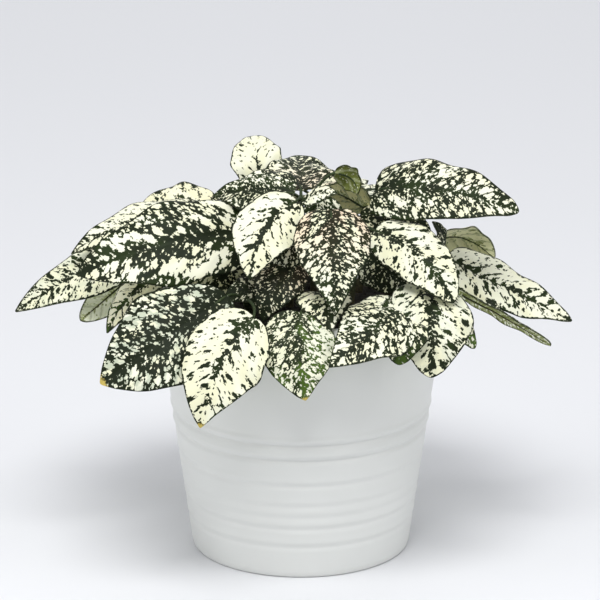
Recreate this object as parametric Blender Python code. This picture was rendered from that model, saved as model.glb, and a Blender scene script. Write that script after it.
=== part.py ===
"""Potted polka dot plant: a ribbed round pot, its soil and a clump of leafy stems.

The frame is metres, +Z up, with the origin at the middle of the pot's foot. The plant's show side faces -Y.
"""

import math
from typing import NamedTuple

import bmesh
import bpy
from mathutils import Matrix, Vector, noise

MM = 0.001

# Pot: a tapered round wall with uneven throwing ribs in its lower half.
POT_HEIGHT = 120 * MM
POT_FOOT_RADIUS = 48.5 * MM
POT_RIM_RADIUS = 65 * MM
POT_WALL = 3.4 * MM
POT_FLOOR = 5 * MM
POT_SIDES = 48
FOOT_CHAMFER = 0.8 * MM
LIP_HEIGHT = 5 * MM
RIM_ROUND = 1.1 * MM
GROOVE_HEIGHTS = [h * MM for h in (14.9, 23.8, 29.5, 34.9, 44.9, 57.3, 64.5)]
GROOVE_DEPTH = 0.5 * MM
PLAIN_WALL_FROM = 70 * MM

# Soil: a plug that fills the pot, with a low uneven mound on top and a hole for each stem.
SOIL_TOP = 106 * MM
SOIL_MOUND = 3 * MM
SOIL_EDGE_DROP = 2 * MM
SOIL_ROUGHNESS = 1.2 * MM
SOIL_LUMP = 9 * MM
SOIL_RINGS = 4
SOIL_SIDES = 32
SOIL_GAP = 0.45 * MM
SEAT_GAP = 0.3 * MM
HOLE_RADIUS = 2.5 * MM
HOLE_SIDES = 8
HOLE_CUT = 30 * MM

# Stems and petioles
STEM_RADIUS = 1.9 * MM
STEM_TOP_RADIUS = 1.1 * MM
STEM_SIDES = 5
STEM_STEPS = 4
STEM_DEPTH = 14 * MM
STEM_BEND = SOIL_TOP + 4 * MM
STEM_UPRIGHT = 0.5
STEM_ARRIVE = 0.2
PETIOLE_RADIUS = 1.0 * MM
PETIOLE_END_RADIUS = 0.75 * MM
PETIOLE_SIDES = 4
PETIOLE_STEPS = 3
PETIOLE_INTO_BLADE = 0.07
PETIOLE_LEAVE = 0.25
PETIOLE_RISE = 0.1
PETIOLE_ARRIVE = 0.2

# Leaf blades
BLADE_THICKNESS = 0.8 * MM
BLADE_ROWS = 7
BLADE_COLUMNS = 4
BLADE_START_WIDTH = 0.12
BLADE_TIP_SHARPNESS = 1.2
BLADE_BASE_SHARPNESS = 0.62
TIP_ROUND = 0.07
TIP_CUT = 0.955
MARGIN_UNEVEN = 0.08
MARGIN_LUMPS = 5
ROW_CROWDING = 0.8
WAVE_SHARE = 0.075
WAVE_TURNS = 2.6
WAVE_OFFSET = 2.6

SHARP_ANGLE = math.radians(40)

LEAF_GREEN = (0.045, 0.105, 0.055, 1.0)
SOIL_BROWN = (0.035, 0.022, 0.014, 1.0)
POT_WHITE = (0.78, 0.79, 0.78, 1.0)


class Leaf(NamedTuple):
    """One blade. Points and lengths are in millimetres and angles in degrees."""

    node: float  # where its petiole leaves the stem, 0 at the soil and 1 at the stem's tip
    base: tuple  # where the blade starts
    tip: tuple
    faces: tuple  # roughly where its upper side looks
    width: float
    arch: float = 7  # how far the middle of the midrib stands off the straight line, upper side out
    sweep: float = 0  # how far the midrib bends to the blade's left
    fold: float = 12  # how far each half is raised from flat at the midrib
    curl: float = 38  # how far each half then turns down by its margin
    fullest: float = 0.40  # where along the midrib the blade is widest
    blunt: float = 1.0  # above 1 for an outline rounder at both ends


class Stem(NamedTuple):
    """A leafy stem, from its root point in the soil's plane to its tip, in millimetres."""

    root: tuple
    tip: tuple
    leaves: tuple


STEMS = {
    "crown_stem": Stem(
        (-5, 2),
        (0, -7, 163),
        (
            Leaf(0.97, (-2, -20, 165), (-22, -48, 138), (-0.2, -1, 0.5), 29, arch=6, sweep=-4, blunt=1.1),
            Leaf(0.95, (-3, -12, 166), (-39, 0, 161), (0, -0.6, 1), 27.5, arch=3, fullest=0.3),
            Leaf(0.97, (0, 0, 164), (-1, 37, 169), (0.05, -0.7, 1), 37, arch=1, fullest=0.36),
            Leaf(0.65, (15, -6, 174), (25, -12, 166), (0.2, 1, 0.6), 15, arch=4, blunt=1.3),
            Leaf(0.9, (1, -17, 164), (16, -25, 170), (-0.2, -0.5, 1), 12, arch=2),
        ),
    ),
    "centre_stem": Stem(
        (10, -8),
        (15, -16, 154),
        (
            Leaf(0.97, (13, -30, 164), (15, -67, 128), (0, -1, 0.4), 34, arch=8, fullest=0.32),
            Leaf(0.6, (-1, -25, 139), (-16.5, -44.5, 118), (-0.3, -0.8, 0.6), 24),
            Leaf(0.75, (6, -18, 148), (-16, -28, 137), (0, -0.8, 0.8), 22, arch=4),
            Leaf(0.9, (18, -9, 155), (1, -7, 158), (0, -1, 0.3), 15, arch=2),
        ),
    ),
    "right_stem": Stem(
        (22, 4),
        (31, 2, 150),
        (
            Leaf(0.97, (32.5, -3, 165), (95, -20, 160), (0, -0.8, 1), 34, arch=8, fullest=0.24, blunt=1.65),
            Leaf(0.9, (30, 6, 153), (8, 0, 165), (-0.2, 0.7, 0.6), 20, arch=2),
            Leaf(0.8, (32, -22, 152), (66, -50, 128), (0.3, -0.8, 0.7), 29, sweep=2, blunt=1.4),
            Leaf(0.85, (26, 2, 152), (57, -4, 147), (0, -0.5, 1), 25, arch=4),
            Leaf(0.5, (28, -8, 137), (50, -26, 122), (0.2, -0.7, 0.8), 27, arch=4),
            Leaf(0.9, (36, 12, 155), (60, 40, 156), (0.1, 0.2, 1), 26, arch=4),
        ),
    ),
    "far_right_stem": Stem(
        (38, 8),
        (58, 8, 127),
        (
            Leaf(0.97, (65, 2, 132), (120, -5, 105), (0.3, -0.6, 0.8), 27, arch=0, fullest=0.34, blunt=1.2),
            Leaf(
                0.95, (68, -6, 119.5), (110, -20, 98.5), (0.4, 0.6, 0.7), 11,
                arch=1, fold=25, curl=70, blunt=3,
            ),
            Leaf(0.9, (58, 16, 135), (87, 30, 123), (0.1, 0.7, 0.5), 22, blunt=1.4),
            Leaf(0.97, (62, 6, 134), (58, 5, 148), (1, -0.4, 0.2), 12, arch=3),
            Leaf(0.8, (62, 20, 126), (98, 32, 102), (0.3, 0.3, 0.9), 26),
        ),
    ),
    "left_stem": Stem(
        (-22, -2),
        (-25, -8, 145),
        (
            Leaf(
                0.97, (-22, -15, 149), (-97, -35, 136), (0, -0.9, 0.75), 41,
                arch=10, fullest=0.36, blunt=1.25,
            ),
            Leaf(0.5, (-26, -12, 132), (-54, -20, 126), (0, -0.7, 0.8), 26, arch=4),
        ),
    ),
    "far_left_stem": Stem(
        (-36, 8),
        (-52, 6, 136),
        (
            Leaf(0.97, (-58, 4, 140), (-126, -10, 111), (0, -0.6, 0.9), 27, arch=5, blunt=1.1),
            Leaf(0.8, (-71, 0, 128), (-97, -16, 109), (0.5, 0.8, 0.2), 16, blunt=1.4),
            Leaf(0.7, (-59, -8, 128), (-85, -25, 106), (-0.6, -0.7, 0.3), 16, blunt=1.1),
            Leaf(0.9, (-62, 17, 137), (-102, 30, 119), (-0.2, 0.1, 1), 26),
        ),
    ),
    "front_left_stem": Stem(
        (-22, -24),
        (-24, -32, 124),
        (
            Leaf(
                0.97, (-20, -63.5, 126), (-43, -85.5, 83.5), (-0.2, -1, 0.3), 37,
                arch=8, sweep=-3, fullest=0.37,
            ),
            Leaf(
                0.85, (-32, -48, 131), (-86, -74, 99.5), (-0.3, -0.9, 0.4), 45,
                sweep=2.5, fullest=0.46, blunt=1.05,
            ),
            Leaf(0.7, (-8, -24, 122), (-34, -34, 124), (0, -0.6, 1), 22),
        ),
    ),
    "front_stem": Stem(
        (4, -30),
        (4, -36, 124),
        (
            Leaf(
                0.9, (0, -60, 127), (2, -80, 94), (0, -1, 0.6), 35,
                arch=5, sweep=-2, fullest=0.37, blunt=1.05,
            ),
            Leaf(0.97, (8, -37.5, 128.5), (12.5, -66.5, 120), (0, -0.5, 1), 24.5),
        ),
    ),
    "front_right_stem": Stem(
        (32, -22),
        (45, -30, 124),
        (
            Leaf(
                0.97, (56, -38, 131), (56, -66, 99.5), (0.2, -1, 0.4), 38,
                arch=8, sweep=-1, fullest=0.34, blunt=1.5,
            ),
            Leaf(0.85, (44, -44, 127), (12, -80, 109), (-0.1, -0.8, 0.8), 34, sweep=4),
            Leaf(0.7, (44, -54, 122), (42, -71, 107), (0, -1, 0.3), 23, blunt=1.5),
            Leaf(0.9, (58, -40, 123), (75.5, -45, 105.7), (0.2, -0.5, 1), 14, arch=3, blunt=1.6),
        ),
    ),
    "back_left_stem": Stem(
        (-18, 18),
        (-24, 14, 152),
        (
            Leaf(0.97, (-17, 28, 156), (-23, 50, 174), (0, -1, 1), 24, blunt=1.2),
            Leaf(0.9, (-37, 12, 147), (-74, 30, 143.5), (0, -0.7, 1), 32, blunt=1.4),
            Leaf(0.95, (-40, 8, 152), (-101, -8, 137), (-0.2, -0.4, 1), 27),
            Leaf(0.9, (-36, 28, 144), (-64, 66, 128), (-0.1, 0.3, 1), 34),
        ),
    ),
    "back_stem": Stem(
        (6, 22),
        (8, 26, 150),
        (
            Leaf(0.97, (11, 42, 153), (16, 92, 130), (0, 0.5, 1), 36),
            Leaf(0.97, (20, 34, 150), (64, 56, 136), (0.2, 0.2, 1), 34),
            Leaf(0.97, (2, 36, 153), (-30, 62, 147), (-0.1, 0.2, 1), 28, arch=4),
            Leaf(0.8, (-4, 38, 146), (-20, 80, 122), (-0.2, 0.4, 1), 34),
        ),
    ),
    "back_right_stem": Stem(
        (26, 26),
        (40, 32, 128),
        (
            Leaf(0.97, (48, 47, 126), (80, 72, 104), (0.4, 0.3, 0.9), 32),
            Leaf(0.9, (44, 50, 124), (56, 88, 94), (0.2, 0.7, 0.7), 36),
            Leaf(0.8, (38, 40, 134), (36, 84, 114), (0, 0.7, 0.7), 30),
        ),
    ),
    "back_low_stem": Stem(
        (-6, 34),
        (-6, 44, 122),
        (
            Leaf(0.97, (-10, 58, 125), (-14, 90, 88), (0, 1, 0.5), 38),
            Leaf(0.9, (6, 60, 127), (18, 88, 86), (0.2, 1, 0.5), 34),
        ),
    ),
    "back_low_left_stem": Stem(
        (-30, 26),
        (-40, 34, 126),
        (
            Leaf(0.97, (-52, 36, 128), (-100, 50, 108), (-0.3, 0.2, 1), 34),
            Leaf(0.9, (-46, 46, 126), (-66, 84, 94), (-0.4, 0.7, 0.7), 36),
            Leaf(0.9, (-38, 52, 127), (-40, 84, 90), (0, 1, 0.5), 32),
        ),
    ),
}


def pos(point):
    return Vector(point) * MM


def make_material(name, color, roughness):
    material = bpy.data.materials.new(name)
    material.use_nodes = True
    shader = material.node_tree.nodes["Principled BSDF"]
    shader.inputs["Base Color"].default_value = color
    shader.inputs["Roughness"].default_value = roughness
    shader.inputs["Metallic"].default_value = 0.0
    material.diffuse_color = color
    return material


def shade(mesh):
    """Smooth over curves, and crisp at real edges."""
    mesh.shade_smooth()
    mesh.set_sharp_from_angle(angle=SHARP_ANGLE)


def add_object(name, builder, material=None):
    """An object at the origin from a bmesh, which it frees."""
    mesh = bpy.data.meshes.new(name)
    builder.to_mesh(mesh)
    builder.free()
    shade(mesh)
    if material:
        mesh.materials.append(material)
    obj = bpy.data.objects.new(name, mesh)
    bpy.context.scene.collection.objects.link(obj)
    return obj


def bezier(points, share):
    """A point on the Bezier curve with these control points."""
    points = [p.copy() for p in points]
    while len(points) > 1:
        points = [a.lerp(b, share) for a, b in zip(points, points[1:])]
    return points[0]


def across(direction, towards):
    """The unit vector nearest to towards that is square to direction."""
    towards = Vector(towards)
    return (towards - towards.project(direction)).normalized()


def turns_along(path):
    """For each point of a path, a rotation that takes +Z to the path's direction without spinning."""
    turns = []
    for before, after in zip([path[0]] + path, path[1:] + [path[-1]]):
        ahead = after - before
        if turns:
            last = turns[-1] @ Vector((0, 0, 1))
            turns.append(last.rotation_difference(ahead) @ turns[-1])
        else:
            turns.append(Vector((0, 0, 1)).rotation_difference(ahead))
    return turns


def tube(name, path, radii, sides):
    """A grid rolled up along the path, with its ends filled."""
    builder = bmesh.new()
    steps = len(path) - 1
    bmesh.ops.create_grid(builder, x_segments=sides, y_segments=steps, size=1)
    turns = turns_along(path)
    for vert in builder.verts:
        angle = math.pi * vert.co.x
        index = round((vert.co.y + 1) / 2 * steps)
        spoke = Vector((math.cos(angle), math.sin(angle), 0)) * radii[index]
        vert.co = path[index] + turns[index] @ spoke
    bmesh.ops.remove_doubles(builder, verts=builder.verts, dist=1e-6)
    bmesh.ops.holes_fill(builder, edges=builder.edges)
    bmesh.ops.recalc_face_normals(builder, faces=builder.faces)
    return add_object(name, builder)


class Blade:
    """The middle surface of a leaf: point(s, t) with s from base to tip and t from -1 to 1 across."""

    def __init__(self, leaf):
        self.leaf = leaf
        self.base = pos(leaf.base)
        self.tip = pos(leaf.tip)
        self.along = (self.tip - self.base).normalized()
        self.normal = across(self.along, leaf.faces)
        self.side = self.normal.cross(self.along)
        self.half_width = leaf.width * MM / 2
        self.seed = sum(leaf.base) * 0.37 + sum(leaf.tip) * 0.73

    def midrib(self, s):
        hump = 4 * s * (1 - s)
        bend = self.normal * self.leaf.arch + self.side * self.leaf.sweep
        return self.base.lerp(self.tip, s) + bend * MM * hump

    def tangent(self, s):
        step = 0.01
        return (self.midrib(s + step) - self.midrib(s - step)).normalized()

    def reach(self, s, t):
        """The distance from the midrib to the margin on the side of t, measured along the blade."""
        power = math.log(0.5) / math.log(self.leaf.fullest)
        sharpness = BLADE_BASE_SHARPNESS + (BLADE_TIP_SHARPNESS - BLADE_BASE_SHARPNESS) * s
        shape = math.sin(math.pi * (TIP_CUT * s) ** power) ** (sharpness / self.leaf.blunt)
        shape = max(shape, BLADE_START_WIDTH * (1 - s) ** 2)
        over = max(0, s - 1 + TIP_ROUND) / TIP_ROUND
        side = 1 if t > 0 else -1
        uneven = 1 + MARGIN_UNEVEN * noise.noise(Vector((s * MARGIN_LUMPS, side, self.seed)))
        return self.half_width * shape * math.sqrt(max(0, 1 - over * over)) * uneven

    def point(self, s, t):
        leaf = self.leaf
        tangent = self.tangent(s)
        up = across(tangent, self.normal)
        side = up.cross(tangent)
        reach = abs(t) * self.reach(s, t)
        # Each half leaves the midrib at the fold's angle and then turns down evenly.
        start = math.radians(leaf.fold)
        turn = math.radians(leaf.curl) * reach / self.half_width
        middle = start - turn / 2
        chord = reach * (math.sin(turn / 2) / (turn / 2) if turn > 1e-4 else 1)
        out = math.copysign(chord * math.cos(middle), t)
        lift = chord * math.sin(middle)
        phase = WAVE_TURNS * math.tau * s + (WAVE_OFFSET if t > 0 else 0)
        ripple = WAVE_SHARE * self.half_width * math.sin(phase) * t * t * math.sin(math.pi * s)
        return self.midrib(s) + side * out + up * (lift + ripple)


def row_place(share):
    """Where a row of the blade lies along the midrib, with the rows closer together at both ends."""
    return share + ((1 - math.cos(math.pi * share)) / 2 - share) * ROW_CROWDING


def add_blade(name, blade):
    """A grid bent to the blade's surface, split into triangles and then thickened."""
    builder = bmesh.new()
    bmesh.ops.create_grid(builder, x_segments=BLADE_COLUMNS, y_segments=BLADE_ROWS, size=1)
    for vert in builder.verts:
        vert.co = blade.point(row_place((vert.co.y + 1) / 2), vert.co.x)
    bmesh.ops.remove_doubles(builder, verts=builder.verts, dist=1e-6)
    bmesh.ops.triangulate(builder, faces=builder.faces)
    bmesh.ops.recalc_face_normals(builder, faces=builder.faces)
    obj = add_object(name, builder)
    thicken = obj.modifiers.new("thickness", "SOLIDIFY")
    thicken.thickness = BLADE_THICKNESS
    thicken.offset = 0
    return obj


def stem_point(stem, share):
    """A point of the stem above the soil, which it leaves upright."""
    root = Vector((*stem.root, STEM_BEND / MM)) * MM
    tip = pos(stem.tip)
    height = Vector((0, 0, tip.z - root.z))
    return bezier([root, root + height * STEM_UPRIGHT, tip - height * STEM_ARRIVE, tip], share)


def petiole_path(stem, leaf):
    blade = Blade(leaf)
    start = stem_point(stem, leaf.node)
    end = blade.midrib(PETIOLE_INTO_BLADE)
    length = (end - start).length
    leave = start.lerp(end, PETIOLE_LEAVE) + Vector((0, 0, length * PETIOLE_RISE))
    arrive = blade.base - blade.tangent(0) * length * PETIOLE_ARRIVE
    curve = [start, leave, arrive, end]
    return [bezier(curve, i / PETIOLE_STEPS) for i in range(PETIOLE_STEPS + 1)]


def fading(start, end, steps):
    """Radii from start to end, one for each point of a path with this many steps."""
    return [start + (end - start) * i / steps for i in range(steps + 1)]


def stem_tube(name, stem):
    foot = Vector((*stem.root, (SOIL_TOP - STEM_DEPTH) / MM)) * MM
    path = [foot] + [stem_point(stem, i / STEM_STEPS) for i in range(STEM_STEPS + 1)]
    radii = [STEM_RADIUS] + fading(STEM_RADIUS, STEM_TOP_RADIUS, STEM_STEPS)
    return tube(name, path, radii, STEM_SIDES)


def merge(obj, pieces, operation="UNION"):
    """Unites the pieces with the object, or cuts them from it, for good, and removes them."""
    holder = bpy.data.collections.new(obj.name + "_pieces")
    bpy.context.scene.collection.children.link(holder)
    for piece in pieces:
        bpy.context.scene.collection.objects.unlink(piece)
        holder.objects.link(piece)
    boolean = obj.modifiers.new("merge", "BOOLEAN")
    boolean.operation = operation
    boolean.operand_type = "COLLECTION"
    boolean.collection = holder
    bpy.context.view_layer.update()
    graph = bpy.context.evaluated_depsgraph_get()
    merged = bpy.data.meshes.new_from_object(obj.evaluated_get(graph))
    obj.modifiers.clear()
    obj.data = merged
    shade(merged)
    for piece in pieces:
        bpy.data.objects.remove(piece)
    bpy.data.collections.remove(holder)


def add_stem(name, stem, material):
    """A stem with its petioles and blades grown together."""
    pieces = []
    for index, leaf in enumerate(stem.leaves):
        path = petiole_path(stem, leaf)
        radii = fading(PETIOLE_RADIUS, PETIOLE_END_RADIUS, PETIOLE_STEPS)
        pieces.append(tube(f"{name}_petiole_{index}", path, radii, PETIOLE_SIDES))
        pieces.append(add_blade(f"{name}_blade_{index}", Blade(leaf)))
    trunk = stem_tube(name, stem)
    merge(trunk, pieces)
    trunk.data.materials.clear()
    trunk.data.materials.append(material)


def revolve(name, profile, sides, material):
    """A solid turned from a profile of (radius, height) points that starts and ends on the axis."""
    builder = bmesh.new()
    verts = [builder.verts.new((r, 0, z)) for r, z in profile]
    edges = [builder.edges.new(pair) for pair in zip(verts, verts[1:])]
    bmesh.ops.spin(
        builder,
        geom=verts + edges,
        cent=(0, 0, 0),
        axis=(0, 0, 1),
        angle=math.tau,
        steps=sides,
        use_merge=True,
    )
    bmesh.ops.remove_doubles(builder, verts=builder.verts, dist=1e-6)
    bmesh.ops.recalc_face_normals(builder, faces=builder.faces)
    return add_object(name, builder, material)


def wall_radius(z):
    """The outer radius of the plain taper."""
    return POT_FOOT_RADIUS + (POT_RIM_RADIUS - POT_FOOT_RADIUS) * z / POT_HEIGHT


def rib_points():
    """Each groove's floor and the crest half way to the next groove, from the foot up."""
    points = []
    for low, high in zip(GROOVE_HEIGHTS, GROOVE_HEIGHTS[1:] + [PLAIN_WALL_FROM]):
        crest = (low + high) / 2
        points += [(wall_radius(low) - GROOVE_DEPTH, low), (wall_radius(crest), crest)]
    return points


def pot_profile():
    """The pot's section, from the middle of its foot round to the middle of its floor."""
    foot = [(0, 0), (POT_FOOT_RADIUS - FOOT_CHAMFER, 0), (wall_radius(FOOT_CHAMFER), FOOT_CHAMFER)]
    lip_start = POT_HEIGHT - LIP_HEIGHT
    lip = [
        (wall_radius(lip_start), lip_start),
        (POT_RIM_RADIUS, POT_HEIGHT - RIM_ROUND),
        (POT_RIM_RADIUS - RIM_ROUND, POT_HEIGHT),
        (POT_RIM_RADIUS - POT_WALL + RIM_ROUND, POT_HEIGHT),
        (POT_RIM_RADIUS - POT_WALL, POT_HEIGHT - RIM_ROUND),
    ]
    inside = [(wall_radius(POT_FLOOR) - POT_WALL, POT_FLOOR), (0, POT_FLOOR)]
    return foot + rib_points() + lip + inside


def plug_radius(z):
    return wall_radius(z) - POT_WALL - SOIL_GAP


def soil_profile():
    """The plug's section, from the middle of its underside round to the top of its mound."""
    floor = POT_FLOOR + SEAT_GAP
    edge = SOIL_TOP - SOIL_EDGE_DROP
    mound = []
    for ring in range(1, SOIL_RINGS + 1):
        out = 1 - ring / SOIL_RINGS
        mound.append((plug_radius(edge) * out, SOIL_TOP + SOIL_MOUND * (1 - out * out)))
    return [(0, floor), (plug_radius(floor), floor), (plug_radius(edge), edge)] + mound


def stem_hole(name, stem):
    """A cutter for the hole that a stem stands in."""
    builder = bmesh.new()
    bottom = SOIL_TOP - STEM_DEPTH - SEAT_GAP
    bmesh.ops.create_cone(
        builder,
        cap_ends=True,
        segments=HOLE_SIDES,
        radius1=HOLE_RADIUS,
        radius2=HOLE_RADIUS,
        depth=HOLE_CUT,
        matrix=Matrix.Translation((*[c * MM for c in stem.root], bottom + HOLE_CUT / 2)),
    )
    return add_object(name + "_hole", builder)


def add_soil(material):
    """A plug that clears the pot all round, with a rough low mound and a hole for each stem."""
    soil = revolve("soil", soil_profile(), SOIL_SIDES, material)
    for vert in soil.data.vertices:
        if vert.co.z >= SOIL_TOP:
            vert.co.z += SOIL_ROUGHNESS * noise.noise(vert.co / SOIL_LUMP)
    merge(soil, [stem_hole(name, stem) for name, stem in STEMS.items()], "DIFFERENCE")


def main():
    for obj in list(bpy.data.objects):
        bpy.data.objects.remove(obj)
    ceramic = make_material("pot_glaze", POT_WHITE, 0.45)
    earth = make_material("soil", SOIL_BROWN, 0.95)
    foliage = make_material("leaf", LEAF_GREEN, 0.5)
    revolve("pot", pot_profile(), POT_SIDES, ceramic)
    add_soil(earth)
    for name, stem in STEMS.items():
        add_stem(name, stem, foliage)


if __name__ == "__main__":
    main()
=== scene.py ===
"""The looks of a potted polka dot plant: leaves, stalks, soil and a ribbed glazed pot."""

import math
from typing import NamedTuple

import bmesh
import bpy
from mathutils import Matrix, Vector, noise


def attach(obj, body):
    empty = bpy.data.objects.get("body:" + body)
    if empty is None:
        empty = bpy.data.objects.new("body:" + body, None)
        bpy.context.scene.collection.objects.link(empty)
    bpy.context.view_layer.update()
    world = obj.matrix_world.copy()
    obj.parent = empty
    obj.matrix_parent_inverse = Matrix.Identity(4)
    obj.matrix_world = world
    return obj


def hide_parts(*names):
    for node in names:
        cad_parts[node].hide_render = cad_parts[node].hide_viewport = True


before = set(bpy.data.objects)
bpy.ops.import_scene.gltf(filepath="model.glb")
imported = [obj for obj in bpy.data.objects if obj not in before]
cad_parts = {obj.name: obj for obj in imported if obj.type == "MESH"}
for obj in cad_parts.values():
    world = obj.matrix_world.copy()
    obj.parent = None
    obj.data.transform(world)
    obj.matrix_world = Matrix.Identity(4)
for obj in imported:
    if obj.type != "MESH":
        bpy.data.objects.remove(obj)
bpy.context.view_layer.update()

MM = 0.001

# Pot
POT_HEIGHT = 120 * MM
POT_FOOT_RADIUS = 48.5 * MM
POT_RIM_RADIUS = 65 * MM
POT_WALL = 3.4 * MM
POT_FLOOR = 5 * MM
POT_SIDES = 160
POT_STEP = 0.9 * MM
GROOVE_HEIGHTS = [h * MM for h in (14.9, 23.8, 29.5, 34.9, 44.9, 57.3, 64.5)]
GROOVE_DEPTHS = [d * MM for d in (0.35, 0.4, 0.25, 0.25, 0.5, 1.0, 1.1)]
GROOVE_WIDTH = 1.0 * MM
RIDGE_ABOVE = 2.6 * MM
RIDGE_SHARE = 0.45
RIDGE_WIDTH = 1.3 * MM
RIM_ROUND = 1.4 * MM
FOOT_ROUND = 1.5 * MM
LIP_DEPTH = 11 * MM
LIP_SLOPE = 1.5 * MM
HAND_WOBBLE = 0.12 * MM
WOBBLE_AROUND = 30
WOBBLE_UP = 60
WOBBLE_START = 2 * MM

# Soil
SOIL_TOP = 106 * MM
SOIL_EDGE = SOIL_TOP - 2 * MM
SOIL_MOUND = 3 * MM
SOIL_SIDES = 128
SOIL_RINGS = 56
SOIL_GAP = 0.45 * MM
SEAT_GAP = 0.3 * MM
LUMP_HEIGHT = 1.2 * MM
LUMP_SIZE = 9 * MM
SMALL_LUMP_SIZE = 2.6 * MM
SMALL_LUMP_SHARE = 0.6
CRUMBS = 260
CRUMB_SPREAD = 0.96
CRUMB_RADIUS = 1.1 * MM
CRUMB_RADIUS_SWING = 0.7 * MM
CRUMB_ROUGHNESS = 0.5
CRUMB_RADIUS_SCALE = 700
CRUMB_ROUGHNESS_SCALE = 900
CRUMB_APART = 100

# Stems and petioles
STEM_RADIUS = 1.9 * MM
STEM_TOP_RADIUS = 1.1 * MM
STEM_SIDES = 14
STEM_STEPS = 28
STEM_DEPTH = 14 * MM
STEM_BEND = SOIL_TOP + 4 * MM
STEM_UPRIGHT = 0.5
STEM_ARRIVE = 0.2
KNOT_SWELL = 0.22
KNOT_LENGTH = 1 / 30
PETIOLE_RADIUS = 0.8 * MM
PETIOLE_END_RADIUS = 0.6 * MM
PETIOLE_SIDES = 10
PETIOLE_STEPS = 14
PETIOLE_INTO_BLADE = 0.07
PETIOLE_LEAVE = 0.25
PETIOLE_RISE = 0.1
PETIOLE_ARRIVE = 0.2
RIB_STEPS = 22
RIB_END = 0.93
RIB_TAPER = 0.7
RIB_END_RADIUS = 0.18 * MM
RIB_DROP = 0.25 * MM

# Leaf blades
BLADE_THICKNESS = 0.6 * MM
BLADE_ROWS = 64
BLADE_COLUMNS = 32
ROW_CROWDING = 0.8
BLADE_START_WIDTH = 0.12
BLADE_TIP_SHARPNESS = 1.2
BLADE_BASE_SHARPNESS = 0.62
TIP_ROUND = 0.07
TIP_CUT = 0.955
MARGIN_UNEVEN = 0.08
MARGIN_LUMPS = 5
WAVE_SHARE = 0.075
WAVE_TURNS = 2.6
WAVE_OFFSET = 2.6
VEIN_SPACING = 7.2 * MM
VEIN_SLOPE = 1.15
VEIN_CURVE = 9.0
PUCKER = 0.45 * MM
PUCKER_ROUNDNESS = 0.7
PUCKER_LEVEL = 0.6
PUCKER_START = 3 * MM
DIMPLE = 0.35 * MM
DIMPLE_SIZE = 6 * MM
MIDRIB_GROOVE = 0.45 * MM
MIDRIB_WIDTH = 1.1 * MM
SEED_FROM_BASE = 0.37
SEED_FROM_TIP = 0.73


class Leaf(NamedTuple):
    """One blade. Points and lengths are in millimetres and angles in degrees."""

    node: float  # where its petiole leaves the stem, 0 at the soil and 1 at the stem's tip
    base: tuple  # where the blade starts
    tip: tuple
    faces: tuple  # roughly where its upper side looks
    width: float
    arch: float = 7  # how far the middle of the midrib stands off the straight line, upper side out
    sweep: float = 0  # how far the midrib bends to the blade's left
    fold: float = 12  # how far each half is raised from flat at the midrib
    curl: float = 38  # how far each half then turns down by its margin
    fullest: float = 0.40  # where along the midrib the blade is widest
    blunt: float = 1.0  # above 1 for an outline rounder at both ends
    cream: float = 0.55  # share of the upper side that is splashed with cream
    grain: float = 1.0  # size of the splashes
    rib: float = 1.0  # width of the dark band beside the midrib
    gold: float = 0.0  # how yellow the cream is
    blush: float = 0.0  # how pink the cream is towards the base
    fresh: float = 0.15  # how light and grassy the green is
    frost: float = 0.0  # how far the cream is veiled in grey-green patches
    golden_tip: float = 0.0  # 1 where the tip has turned golden


class Stem(NamedTuple):
    """A leafy stem, from its root point in the soil's plane to its tip, in millimetres."""

    root: tuple
    tip: tuple
    leaves: tuple


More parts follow.
